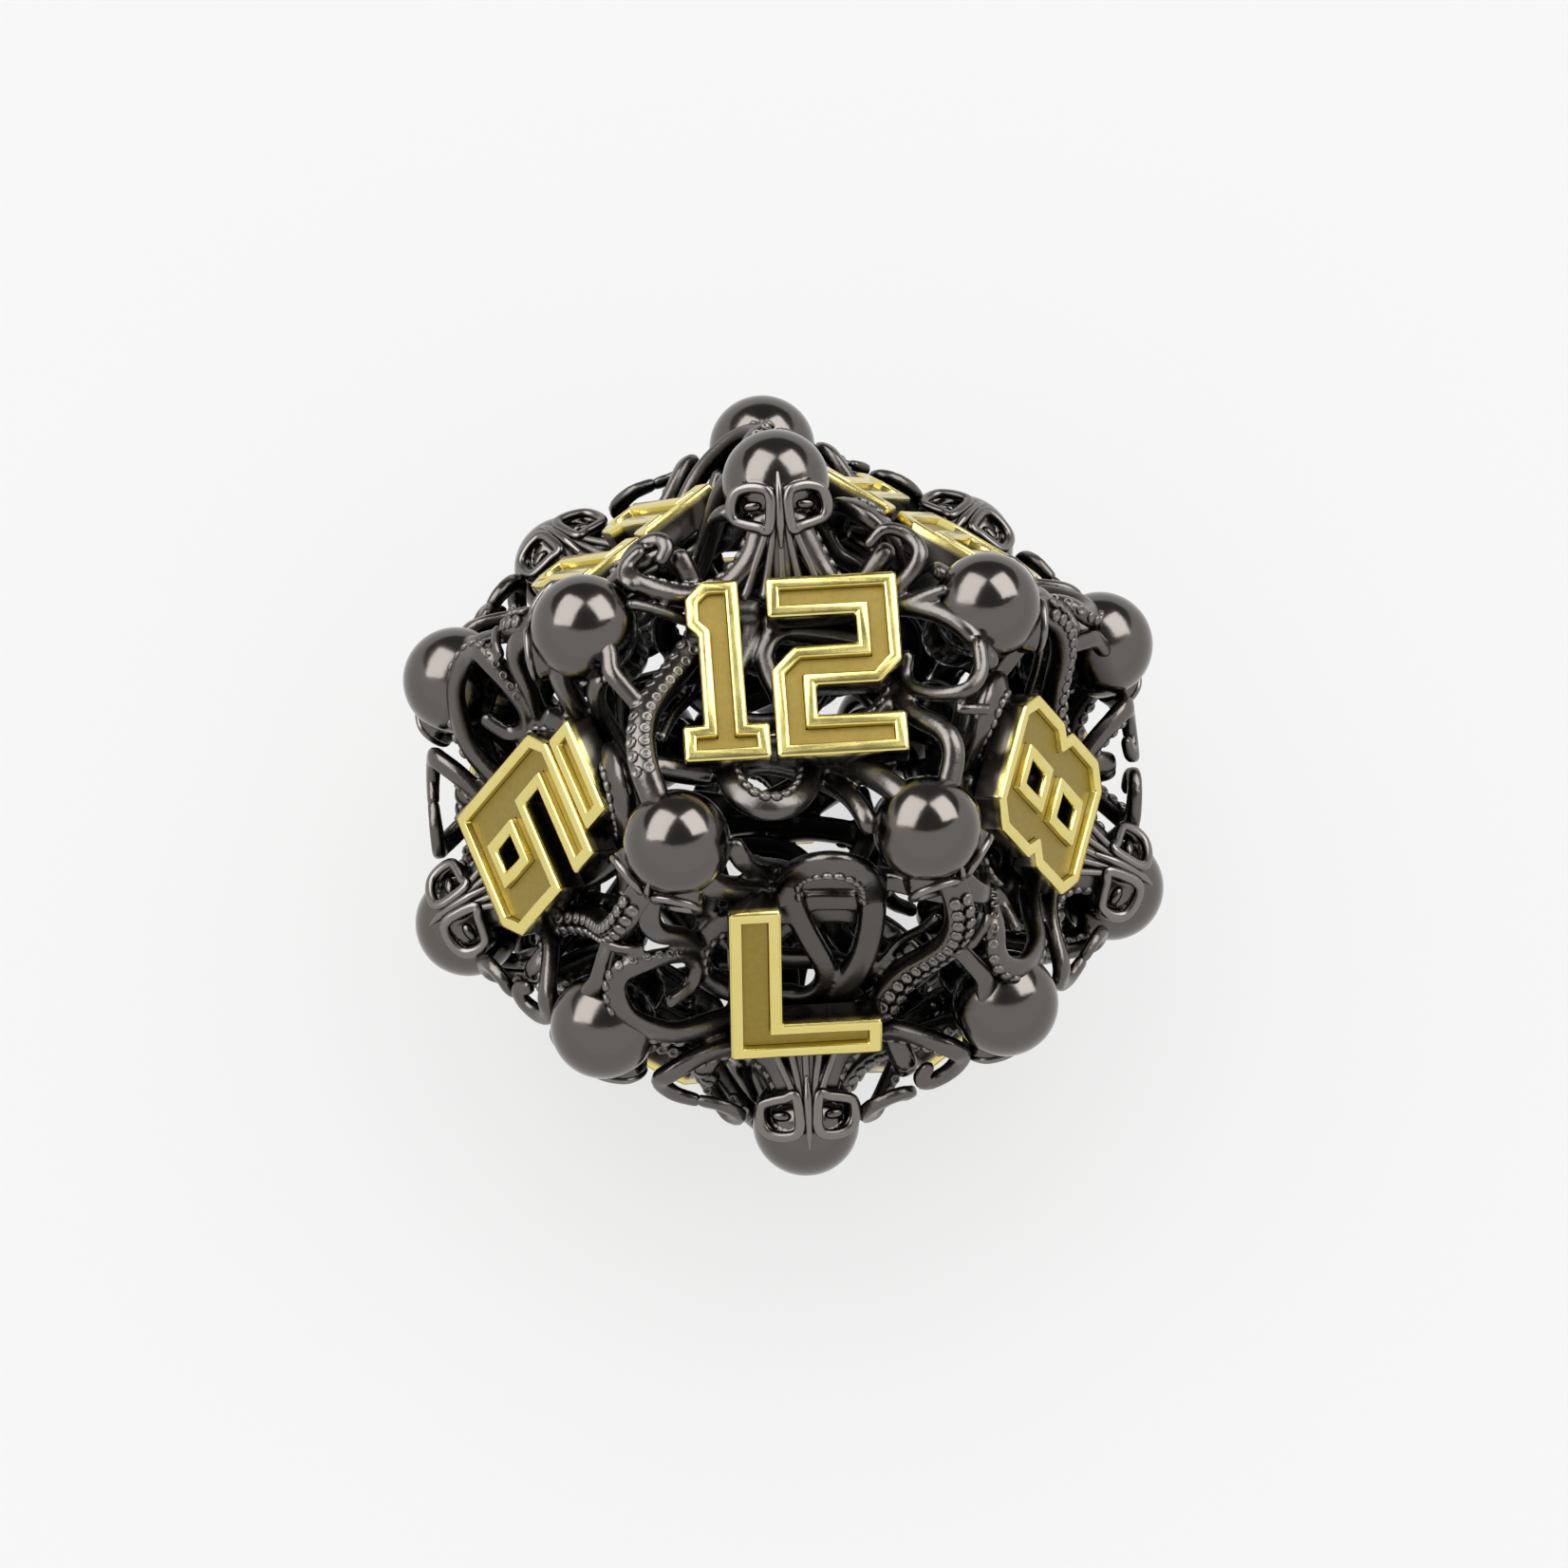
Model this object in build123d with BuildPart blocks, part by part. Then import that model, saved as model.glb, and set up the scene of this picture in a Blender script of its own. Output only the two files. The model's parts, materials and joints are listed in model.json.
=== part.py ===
"""Hollow twelve-sided metal die: octopus heads at the corners, their arms as the cage.

Millimetres, +Z up. The die rests on its "1" face with "12" on top, and the origin is the
point of the table below its centre. The "7" face looks towards -Y.
"""
import os
from math import acos, atan, atan2, cos, degrees, radians, sin, sqrt, tan

from build123d import *

os.makedirs("parts", exist_ok=True)

# ---------------------------------------------------------------- driving sizes
corner_radius = 12.0  # die centre to the datum point of each head
number_plane = 10.3  # die centre to the outer face of each number
number_height = 6.5
number_thickness = 1.1
digit_width = 5.1  # a digit that has a face to itself
paired_width = 4.4  # one of two digits on a face
one_width = 2.9
pair_gap = 0.2
bar = 1.45  # level strokes of the digits
stem = 1.75  # upright strokes of a digit alone on its face
hole_width = 0.85
corner_cut = 0.8
waist_notch = 0.5
foot_height = 1.3  # base of the 1
flag_reach = 0.35  # how far the flag of the 1 stands out to the left
flag_height = 1.6
flag_cut = 0.6  # corner cut off the top of the flag
rim = 0.43  # flat gold rim around the groove of each number
groove_depth = 0.5
enamel_thickness = 0.22
edge_break = 0.07  # chamfer around the outer face of a number
underline_width = 3.5
underline_gap = 0.15

dome_radius = 1.8
dome_drop = 0.3  # dome centre below the datum point
muzzle_radius = 1.3
muzzle_forward = 0.9
muzzle_drop = 0.65
neck_radius = 1.1
neck_depth = 1.3  # neck base below the dome centre
eye_side = 1.05
eye_forward = 1.95
eye_height = -0.12
eye_radius = 0.8
eye_wire = 0.3
eye_look = (0.45, 0.8, 0.4)  # way that an eye looks: to its side, forward and out
eye_recess = 0.4
eye_depth = 1.6
pupil_radius = 0.34
beak_radius = 0.5
beak_tip = 0.12
beak_forward = 2.65
beak_drop = 1.15
beak_length = 1.7
beak_slope = 0.4  # how far the beak's axis falls for each millimetre forward

arm_edge_drop = 0.1  # middle of an arm where it crosses an edge, below the corner radius
arm_thickness = 0.96  # along the face's axis
number_side_gap = 0.05
floor_margin = 0.25  # the arms start to rise this far inside the end of a digit
seat_gap = 0.03  # between the numbers and the arms that carry them
solder_gap = 0.03  # between the arms and the heads
mitre_gap = 0.04  # from each panel to the plane it shares with its neighbour
enamel_gap = 0.02

thick = 0.96  # arm widths
stout = 0.88
medium = 0.76
thin = 0.4
bend_share = 0.45  # of an arm's shorter run, taken up by the bend at its end
floor_bend = 2.0  # radius where the cage starts to rise around the number
ridge_bend = 1.2  # radius where the cage turns over at an edge
ridge_run = 0.5  # where those two bends' lines meet, inside the edge
ridge_rise = 0.25
skirt_run = 2.2  # how far the cage's wall goes on past the edge, before the mitre cuts it
skirt_drop = 1.5
share_depth = 7.0  # each face's share of the die starts this far inside the corner radius
share_height = 3.0  # and ends this far outside it
places_radius = 12.0  # corner radius that the arms' places were drawn for
number_room = 3.0  # cleared above the arms, around each number

# ---------------------------------------------------------------- the regular solid
face_turn = degrees(atan(2))  # between the normals of two neighbouring faces
rounding = 1  # degree, for the test of which faces meet
edge_turn = face_turn / 2  # from a face normal to the middle of its edge
corner_turn = degrees(acos(sqrt((5 + 2 * sqrt(5)) / 15)))  # from a face normal to its corner
datum_plane = corner_radius * cos(radians(corner_turn))  # die centre to a face's datum
dome_orbit = corner_radius - dome_drop
arm_edge_radius = corner_radius - arm_edge_drop
centre_height = dome_orbit * cos(radians(corner_turn)) + dome_radius
die_centre = Vector(0, 0, centre_height)
number_back = number_plane - number_thickness
arm_floor = number_back - seat_gap - arm_thickness / 2  # middle of the arms that pass below a number
floor_radius = number_height / 2 - floor_margin
floor_turn = degrees(atan(floor_radius / number_back))  # the arms stay low this far out

front_azimuth = -90
upper_ring = ["07", "08", "10", "11", "09"]  # anticlockwise from the front, seen from above


def direction(turn, azimuth):
    """Unit vector at an angle from +Z, towards an azimuth."""
    t, a = radians(turn), radians(azimuth)
    return Vector(sin(t) * cos(a), sin(t) * sin(a), cos(t))


def opposite(number):
    """Opposite faces add up to thirteen."""
    return f"{13 - int(number):02d}"


normals = {"12": Vector(0, 0, 1), "01": Vector(0, 0, -1)}
for step, number in enumerate(upper_ring):
    normals[number] = direction(face_turn, front_azimuth + 72 * step)
    normals[opposite(number)] = -normals[number]


def towards(target, axis):
    """Part of a vector that is square to an axis, as a unit vector."""
    return (target - axis * target.dot(axis)).normalized()


# The top of each number points at the head that looks into its face: away from the
# nearer pole on the side faces, to the back on top, and to the front underneath.
head_side = {"12": Vector(0, 1, 0), "01": Vector(0, -1, 0)}
for number in upper_ring:
    head_side[number] = towards(Vector(0, 0, -1), normals[number])
    head_side[opposite(number)] = towards(Vector(0, 0, 1), normals[opposite(number)])


def face_plane(number, distance=0.0):
    """Plane of a face: y to its head, z outwards, its origin on the face's own axis."""
    normal = normals[number]
    return Plane(
        origin=die_centre + normal * distance,
        x_dir=head_side[number].cross(normal),
        z_dir=normal,
    )


names = sorted(normals)
touching = cos(radians(face_turn + rounding))
corners = []
for i, a in enumerate(names):
    for j, b in enumerate(names[i + 1 :], i + 1):
        for c in names[j + 1 :]:
            n = [normals[a], normals[b], normals[c]]
            if min(n[0].dot(n[1]), n[1].dot(n[2]), n[0].dot(n[2])) > touching:
                corners.append(((a, b, c), (n[0] + n[1] + n[2]).normalized()))
pole_heads = [
    max((c for faces, c in corners if number in faces), key=lambda c: c.dot(head_side[number]))
    for number in ("12", "01")
]


def head_plane(corner):
    """Plane of a head: y the way it looks, z outwards.

    The heads of the upper half look down and those of the lower half look up, except for
    the one at each pole that looks into the pole's face.
    """
    pole = Vector(0, 0, -1 if corner.Z > 0 else 1)
    if corner in pole_heads:
        pole = -pole
    forward = towards(pole, corner)
    return Plane(
        origin=die_centre + corner * corner_radius, x_dir=forward.cross(corner), z_dir=corner
    )


# ---------------------------------------------------------------- heads
def eye_plane(side):
    """Plane of an eye's rim, in the head's own frame: x to its side, y forward, z outwards."""
    look = (eye_look[0] * side, eye_look[1], eye_look[2])
    return Plane(origin=(eye_side * side, eye_forward, eye_height), z_dir=look)


def mantle(grow=0.0):
    """Solid dome, muzzle, neck, beak and eye sockets of a head, or the room that they need."""
    top_out = (Align.CENTER, Align.CENTER, Align.MAX)
    with BuildPart() as body:
        with Locations((0, 0, -dome_drop)):
            Sphere(dome_radius + grow)
        with Locations((0, muzzle_forward, -muzzle_drop)):
            Sphere(muzzle_radius + grow)
        with Locations((0, 0, -dome_drop + grow)):
            Cylinder(neck_radius + grow, neck_depth + 2 * grow, align=top_out)
        for side in (-1, 1):
            with Locations(eye_plane(side).offset(grow)):
                Cylinder(eye_radius + grow, eye_depth, align=top_out)
        beak = Plane(origin=(0, beak_forward, -beak_drop), z_dir=(0, 1, -beak_slope))
        with Locations(beak.offset(grow)):
            Cone(beak_radius + grow, beak_tip + grow, beak_length, align=top_out)
    return body.part


mantle_room = mantle(grow=solder_gap)

with BuildPart() as head:
    add(mantle())
    for side in (-1, 1):
        with Locations(eye_plane(side)):
            Cylinder(eye_radius - eye_wire, 2 * eye_recess, mode=Mode.SUBTRACT)
        with Locations(eye_plane(side).offset(-eye_recess)):
            Sphere(pupil_radius)

# ---------------------------------------------------------------- arms of one face
# Each arm is a list of places on the face, x to the right and y to the head, measured
# where lines from the die centre cross the plane through the corner datum points. They grow
# with the die, so that the arms still reach the heads and the edges.
arms = {
    "loop": (
        thick,
        [(-1.1, 2.8), (-1.6, 1.6), (-2.2, 0.3), (-2.5, -1.0), (-2.6, -2.4), (-2.35, -3.6)]
        + [(-1.75, -4.45), (-0.9, -4.75), (-0.1, -4.55), (0.4, -3.9), (0.5, -3.1)],
    ),
    "loop_return": (
        medium,
        [(0.4, -3.6), (0.45, -2.8), (0.2, -1.9), (-0.25, -0.8), (-0.65, 0.3), (-0.75, 1.2)]
        + [(-0.3, 1.95), (0.6, 2.2), (1.5, 2.15), (2.5, 1.85), (3.3, 1.3), (3.8, 0.5)]
        + [(3.85, -0.4), (3.45, -1.2), (2.7, -1.75), (1.7, -2.0), (0.7, -2.1)],
    ),
    "left_front": (
        stout,
        [(-0.3, 5.7), (-0.8, 4.7), (-1.6, 3.9), (-2.6, 3.3), (-3.7, 3.0), (-4.6, 3.2)]
        + [(-5.0, 3.9), (-4.8, 4.7)],
    ),
    "right_front": (
        stout,
        [(0.3, 5.7), (0.8, 4.7), (1.7, 3.9), (2.8, 3.45), (3.8, 3.3), (4.5, 3.6)]
        + [(4.75, 4.3), (4.3, 4.9)],
    ),
    "middle_front": (stout, [(0.0, 5.8), (0.05, 4.6), (-0.1, 3.6), (-0.5, 2.8), (-1.1, 2.0)]),
    "coil": (
        stout,
        [(0.2, 2.4), (1.2, 2.8), (2.2, 2.85), (3.3, 2.65), (4.3, 2.2), (5.1, 1.5), (5.75, 0.7)]
        + [(6.0, -0.2), (5.7, -1.0), (4.9, -1.3), (4.2, -0.9), (3.95, -0.1), (4.15, 0.7)],
    ),
    "sucker_arm": (
        thick,
        [(-1.0, 2.5), (-1.9, 2.75), (-2.7, 2.5), (-3.3, 1.75), (-3.9, 0.8), (-4.4, -0.2)]
        + [(-4.75, -1.2), (-4.9, -2.3), (-4.8, -3.4), (-4.5, -4.6)],
    ),
    "left_strut": (medium, [(-4.7, -1.0), (-5.2, -0.3), (-5.6, 0.5), (-6.1, 1.3), (-6.8, 2.0)]),
    "right_stub": (stout, [(0.5, -2.7), (1.3, -3.0), (2.1, -3.6), (2.9, -4.4), (3.7, -5.2)]),
    "right_tie": (medium, [(3.7, -0.9), (4.2, -1.7), (4.7, -2.6), (4.85, -3.6), (4.6, -4.8)]),
    "cross_bar": (medium, [(0.35, -2.6), (-0.9, -2.35), (-2.5, -2.1)]),
    "slim_bar": (thin, [(-2.0, 1.5), (-3.1, 0.4), (-3.9, -0.9), (-4.7, -1.7)]),
}


def on_cage(x, y):
    """Place on the cage's middle surface: low below the number, full at the edges."""
    place = Vector(x, y, 0) * (corner_radius / places_radius)
    turn = degrees(atan2(place.length, datum_plane))
    low = arm_floor / cos(radians(min(turn, floor_turn)))
    rise = min(max((turn - floor_turn) / (edge_turn - floor_turn), 0), 1)
    distance = low + (arm_edge_radius - low) * rise * rise * (3 - 2 * rise)
    return Vector(place.X, place.Y, datum_plane).normalized() * distance


def bend_radii(points):
    """Radius at each inner point: as large as the shorter of its two runs allows."""
    radii = []
    for before, point, after in zip(points, points[1:], points[2:]):
        first, second = point - before, after - point
        turn = radians(first.get_angle(second))
        radii.append(bend_share * min(first.length, second.length) / tan(turn / 2))
    return radii


with BuildSketch() as arm_net:
    for width, places in arms.values():
        points = [Vector(on_cage(x, y).X, on_cage(x, y).Y) for x, y in places]
        with BuildLine() as route:
            FilletPolyline(*points, radius=bend_radii(points))
        trace(route.line, line_width=width)
        for end in (0, 1):
            with Locations(route.line @ end):
                Circle(width / 2)

# The cage's wall: flat under the number, then rising to its full radius at the edges.
floor_edge = arm_floor * tan(radians(floor_turn))
ridge_out = arm_edge_radius * sin(radians(edge_turn))
ridge_up = arm_edge_radius * cos(radians(edge_turn))
with BuildPart() as cage_wall:
    with BuildSketch(Plane.XZ):
        with BuildLine() as wall_line:
            FilletPolyline(
                (0, arm_floor),
                (floor_edge, arm_floor),
                (ridge_out - ridge_run, ridge_up + ridge_rise),
                (ridge_out + skirt_run, ridge_up - skirt_drop),
                radius=[floor_bend, ridge_bend],
            )
        trace(wall_line.line, line_width=arm_thickness)
    revolve(axis=Axis.Z)

# One face's share of the die: a pyramid from near the centre out past the heads.
share_near = corner_radius - share_depth
share_far = corner_radius + share_height
with BuildPart() as face_share:
    for height in (share_near, share_far):
        inradius = height * tan(radians(edge_turn)) - mitre_gap / cos(radians(edge_turn))
        with BuildSketch(Plane.XY.offset(height)):
            RegularPolygon(inradius, 5, major_radius=False, rotation=90)
    loft(ruled=True)

with BuildPart() as arm_panel:
    add(arm_net.sketch)
    extrude(amount=share_far, clean=False)  # merging these faces can stall at other sizes
    add(cage_wall.part, mode=Mode.INTERSECT)
    add(face_share.part, mode=Mode.INTERSECT)

# ---------------------------------------------------------------- numbers
# A digit is a block with rectangles cut out of it. Its columns are 0 to 5 from the left:
# side, stem, hole, hole, stem, side; its rows are 0 to 5 from below: foot, bar, middle bar
# (2 and 3), bar, top. Each digit lists its slots and, last, its holes as (column, column,
# row, row), and between them its cut corners as (column, row).
four_corners = [(0, 0), (0, 5), (5, 0), (5, 5)]
digits = {
    "0": ([], four_corners, [(2, 3, 1, 4)]),
    "2": ([(0, 4, 3, 4), (1, 5, 1, 2)], [(0, 3), (5, 2)], []),
    "3": ([(0, 4, 3, 4), (0, 4, 1, 2)], [(5, 0), (5, 5)], []),
    "4": ([(1, 4, 3, 5), (0, 4, 0, 2)], [], []),
    "5": ([(1, 5, 3, 4), (0, 4, 1, 2)], [(0, 2), (5, 3)], []),
    "6": ([(1, 5, 3, 4)], [(0, 5), (5, 0)], [(2, 3, 1, 2)]),
    "7": ([(0, 4, 0, 4)], [], []),
    "8": ([], four_corners, [(2, 3, 3, 4), (2, 3, 1, 2)]),
    "9": ([(0, 4, 1, 2)], [(0, 5), (5, 0)], [(2, 3, 3, 4)]),
}


def block_digit(name, width, upright):
    """Outline of a digit from 0 to 9 other than 1, centred on its middle."""
    half, tall = width / 2, number_height / 2
    columns = [-half, -half + upright, -hole_width / 2, hole_width / 2, half - upright, half]
    rows = [-tall, -tall + bar, -bar / 2, bar / 2, tall - bar, tall]
    slots, cut_corners, holes = digits[name]

    def cut(left, right, low, high):
        x0, x1, y0, y1 = columns[left], columns[right], rows[low], rows[high]
        with Locations(((x0 + x1) / 2, (y0 + y1) / 2)):
            Rectangle(x1 - x0, y1 - y0, mode=Mode.SUBTRACT)

    with BuildSketch() as digit:
        Rectangle(width, number_height)
        for slot in slots:
            cut(*slot)
        for column, row in cut_corners:
            place = Vector(columns[column], rows[row])
            chamfer(digit.vertices().sort_by_distance(place)[0], corner_cut)
        if name == "8":
            with Locations((-half, 0), (half, 0)):
                Rectangle(waist_notch, waist_notch, rotation=45, mode=Mode.SUBTRACT)
        for hole in holes:
            cut(*hole)
    return digit.sketch


def figure_one():
    """Outline of the 1: a foot, a stem and a flag at the top left, centred on its middle."""
    half, tall = one_width / 2, number_height / 2
    left, right = -bar / 2, bar / 2
    flag = left - flag_reach
    with BuildSketch() as digit:
        with BuildLine():
            Polyline(
                (-half, -tall),
                (half, -tall),
                (half, -tall + foot_height),
                (right, -tall + foot_height),
                (right, tall),
                (flag + flag_cut, tall),
                (flag, tall - flag_cut),
                (flag, tall - flag_height),
                (left, tall - flag_height - flag_reach),
                (left, -tall + foot_height),
                (-half, -tall + foot_height),
                close=True,
            )
        make_face()
    return digit.sketch


def number_outline(number):
    """Outlines of everything raised on a face, centred on the face."""
    text = str(int(number))
    with BuildSketch() as outline:
        if len(text) == 2:
            widths = [one_width if c == "1" else paired_width for c in text]
            place = -(sum(widths) + pair_gap) / 2
            for c, width in zip(text, widths):
                with Locations((place + width / 2, 0)):
                    add(figure_one() if c == "1" else block_digit(c, width, bar))
                place += width + pair_gap
        elif text == "1":
            add(figure_one())
        else:
            underlined = text in "69"
            lift = (underline_gap + bar) / 2 if underlined else 0
            with Locations((0, lift)):
                add(block_digit(text, digit_width, stem))
            if underlined:
                with Locations((0, lift - number_height / 2 - underline_gap - bar / 2)):
                    Rectangle(underline_width, bar)
    return outline.sketch


outlines = {number: number_outline(number) for number in names}
groove_floor = number_plane - groove_depth


def raised_figure(outline):
    """One figure with its outer edge broken and a groove inside its rim."""
    with BuildPart() as figure:
        with BuildSketch(Plane.XY.offset(number_back)):
            add(outline)
        extrude(amount=number_thickness)
        chamfer(figure.faces().sort_by(Axis.Z)[-1].edges(), edge_break)
        with BuildSketch(Plane.XY.offset(number_plane)):
            offset(outline, amount=-rim, kind=Kind.INTERSECTION)
        extrude(amount=-groove_depth, mode=Mode.SUBTRACT)
    return figure.part


for number in names:
    with BuildPart() as numeral:
        with Locations(face_plane(number)):
            for outline in outlines[number].faces():
                add(raised_figure(outline))
    numeral.part.label = f"numeral_{number}"
    export_step(numeral.part, f"parts/numeral_{number}.step")

    with BuildPart() as inlay:
        with BuildSketch(Plane.XY.offset(groove_floor + enamel_gap)):
            offset(outlines[number], amount=-rim - enamel_gap, kind=Kind.INTERSECTION)
        extrude(amount=enamel_thickness)
    with BuildPart() as enamel:
        with Locations(face_plane(number)):
            add(inlay.part)
    enamel.part.label = f"enamel_{number}"
    export_step(enamel.part, f"parts/enamel_{number}.step")

# ---------------------------------------------------------------- heads in place
head_planes = []
for index, (faces, corner) in enumerate(corners):
    plane = head_plane(corner)
    head_planes.append((faces, plane))
    with BuildPart() as octopus:
        with Locations(plane):
            add(head.part)
    octopus.part.label = "head_" + "_".join(faces)
    export_step(octopus.part, f"parts/{octopus.part.label}.step")

# ---------------------------------------------------------------- panels in place
for number in names:
    with BuildPart() as panel:
        with Locations(face_plane(number)):
            add(arm_panel.part)
        for faces, plane in head_planes:
            if number in faces:
                with Locations(plane):
                    add(mantle_room, mode=Mode.SUBTRACT)
        with BuildSketch(face_plane(number, number_back - seat_gap)):
            offset(outlines[number], amount=number_side_gap, kind=Kind.INTERSECTION)
        extrude(amount=number_room, mode=Mode.SUBTRACT)
    # Slivers that the head or the mitre cuts off an arm's end are left out.
    main = panel.part.solids().sort_by(SortBy.VOLUME)[-1]
    with BuildPart() as lattice:
        add(main)
    lattice.part.label = f"arms_{number}"
    export_step(lattice.part, f"parts/arms_{number}.step")
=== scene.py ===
# %% [markdown]
# # A hollow twelve-sided metal die
# The real die is a small openwork casting. Twenty octopus heads sit at the corners of a regular
# twelve-sided solid, and their arms wind over each face and carry a gold figure. The sizes could
# be typed in again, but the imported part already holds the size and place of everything, so this
# first step only reads it: the top and bottom figures give the middle of the die and the length
# of one drawing millimetre.

import json
from math import acos, atan, cos, pi, radians, sin, sqrt

import bmesh
import bpy
import numpy as np
from mathutils import Matrix, Vector

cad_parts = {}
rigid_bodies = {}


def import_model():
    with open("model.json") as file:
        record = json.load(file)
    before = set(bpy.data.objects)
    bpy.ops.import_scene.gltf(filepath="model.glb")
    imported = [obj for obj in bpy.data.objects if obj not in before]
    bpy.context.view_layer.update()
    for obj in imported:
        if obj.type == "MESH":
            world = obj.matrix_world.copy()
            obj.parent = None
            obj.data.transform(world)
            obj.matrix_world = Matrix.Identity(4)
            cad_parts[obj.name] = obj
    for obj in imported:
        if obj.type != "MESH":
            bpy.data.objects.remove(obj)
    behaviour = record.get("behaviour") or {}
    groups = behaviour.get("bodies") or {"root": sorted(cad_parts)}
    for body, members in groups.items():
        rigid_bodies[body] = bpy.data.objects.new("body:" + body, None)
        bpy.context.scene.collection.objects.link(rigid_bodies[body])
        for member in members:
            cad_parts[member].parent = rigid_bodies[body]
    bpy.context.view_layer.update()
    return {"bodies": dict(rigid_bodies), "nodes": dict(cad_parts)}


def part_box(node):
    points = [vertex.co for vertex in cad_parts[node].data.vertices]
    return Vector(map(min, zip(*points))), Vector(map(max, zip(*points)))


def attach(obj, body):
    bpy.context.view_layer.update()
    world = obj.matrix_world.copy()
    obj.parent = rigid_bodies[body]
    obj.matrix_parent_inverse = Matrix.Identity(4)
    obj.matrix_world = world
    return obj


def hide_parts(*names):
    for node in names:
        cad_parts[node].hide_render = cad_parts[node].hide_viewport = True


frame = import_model()
BODY = next(iter(frame["bodies"]))

FIGURE_PLANE_MM = 10.3  # middle of the die to the outer side of a figure
FIGURE_BACK_MM = 9.2  # and to its inner side
top_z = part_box("numeral_12")[1][2]
bottom_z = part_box("numeral_01")[0][2]
MM = (top_z - bottom_z) / 2 / FIGURE_PLANE_MM  # one drawing millimetre, in metres
MIDDLE = np.array([0.0, 0.0, (top_z + bottom_z) / 2])
print(f"one drawing millimetre is {MM * 1000:.3f} mm, middle at {MIDDLE[2] * 1000:.2f} mm")

# %% [markdown]
# ## Where the faces and corners are
# Each face gets three directions: to its right, to the head that looks into it (the top of its
# figure), and outwards. Each head gets three as well: to its side, forwards, and outwards. The
# heads of the upper half look down and those of the lower half look up, except for the one at
# each pole that looks into the pole's face. They could be turned by hand one after another, but
# the angles of a regular solid are known, so a few formulas place them all.

# %% Directions of the twelve faces
FACE_TURN = atan(2)  # between the directions of two neighbouring faces
CORNER_TURN = acos(sqrt((5 + 2 * sqrt(5)) / 15))  # between a face's direction and its corners
CORNER_RADIUS = 12.0
DATUM_PLANE = CORNER_RADIUS * cos(CORNER_TURN)  # the flat face of the regular solid


def unit(v):
    """A vector of length one: the vector over its own length."""
    v = np.asarray(v, float)
    return v / np.linalg.norm(v)


def square_to(target, axis):
    """The part of a vector that is square to an axis, with length one: what is left when the
    vector's share along the axis is taken away."""
    return unit(target - axis * np.dot(target, axis))


UP = np.array([0.0, 0.0, 1.0])
normals = {"12": UP, "01": -UP}
for step, name in enumerate(["07", "08", "10", "11", "09"]):
    azimuth = radians(-90 + 72 * step)
    n = np.array([sin(FACE_TURN) * cos(azimuth), sin(FACE_TURN) * sin(azimuth), cos(FACE_TURN)])
    normals[name] = n
    normals[f"{13 - int(name):02d}"] = -n  # opposite figures add up to thirteen
face_names = sorted(normals)
print(len(face_names), "faces, the 7 looks along", normals["07"].round(3))

# %% Axes of a face and of a head
ABOVE_FIGURE = 0.5  # only the head above a pole's figure leans more than this to the figure's top


def face_axes(name):
    """Rows: right, up and outwards on a face. Up points away from the nearer pole, and on the
    pole faces to the back or the front, made square to outwards. Right is up crossed with
    outwards."""
    n = normals[name]
    pole = {"12": (0, 1, 0), "01": (0, -1, 0)}.get(name, -UP if n[2] > 0 else UP)
    up = square_to(np.array(pole, float), n)
    return np.array([np.cross(up, n), up, n])


def head_axes(name):
    """Rows: side, forwards and outwards at the corner where three faces meet. Outwards is the
    sum of the three faces' directions. Forwards points away from the nearer pole, or towards it
    for the head that looks into the pole's face, made square to outwards."""
    faces = name.split("_")[1:]
    out = unit(sum(normals[f] for f in faces))
    pole = -UP if out[2] > 0 else UP
    for face in ("12", "01"):
        if face in faces and np.dot(out, face_axes(face)[1]) > ABOVE_FIGURE:
            pole = -pole
    forward = square_to(pole, out)
    return np.array([np.cross(forward, out), forward, out])


head_names = sorted(n for n in frame["nodes"] if n.startswith("head_"))
print(len(head_names), "heads, the first looks along", head_axes(head_names[0])[1].round(3))

# %% [markdown]
# ## Mesh helpers
# The arms and heads are organic, so they are built the way a sculptor would: rough solid forms
# pushed into one another, fused by a fine voxel remesh, then smoothed. A swept tube could be a
# curve with a bevel, but a mesh tube lets its radius follow any profile along the way.

# %% A smooth path
def smooth_path(points, per_span=8):
    """Points on a Catmull-Rom curve: between two given places runs the cubic that passes through
    both, and whose slope at each is half the step between its neighbours."""
    p = np.asarray(points, float)
    p = np.vstack([2 * p[0] - p[1], p, 2 * p[-1] - p[-2]])
    t = np.linspace(0, 1, per_span, endpoint=False)[:, None]
    rows = []
    for a, b, c, d in zip(p, p[1:], p[2:], p[3:]):
        square = 2 * a - 5 * b + 4 * c - d
        cube = 3 * b - a - 3 * c + d
        rows.append(0.5 * (2 * b + (c - a) * t + square * t**2 + cube * t**3))
    return np.vstack(rows + [p[-2:-1]])


print("a path through 3 places has", len(smooth_path([(0, 0), (1, 0), (1, 1)])), "points")


# %% Faces between rings
def ring_quads(rings, sides, endless=False):
    """Quads between rings of points that follow one another, and back to the first if endless:
    point j of a ring joins point j and the next one of the ring after."""
    here = np.arange(rings if endless else rings - 1)[:, None]
    after = (here + 1) % rings * sides
    here = here * sides
    j = np.arange(sides)
    k = (j + 1) % sides
    return np.stack([here + j, after + j, after + k, here + k], axis=-1).reshape(-1, 4)


print("three rings of four points are joined by", len(ring_quads(3, 4)), "quads")

# %% Tubes
ROUND_END = np.array([0.35, 0.7, 0.92])  # radius of the last rings of a tube, as shares


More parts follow.
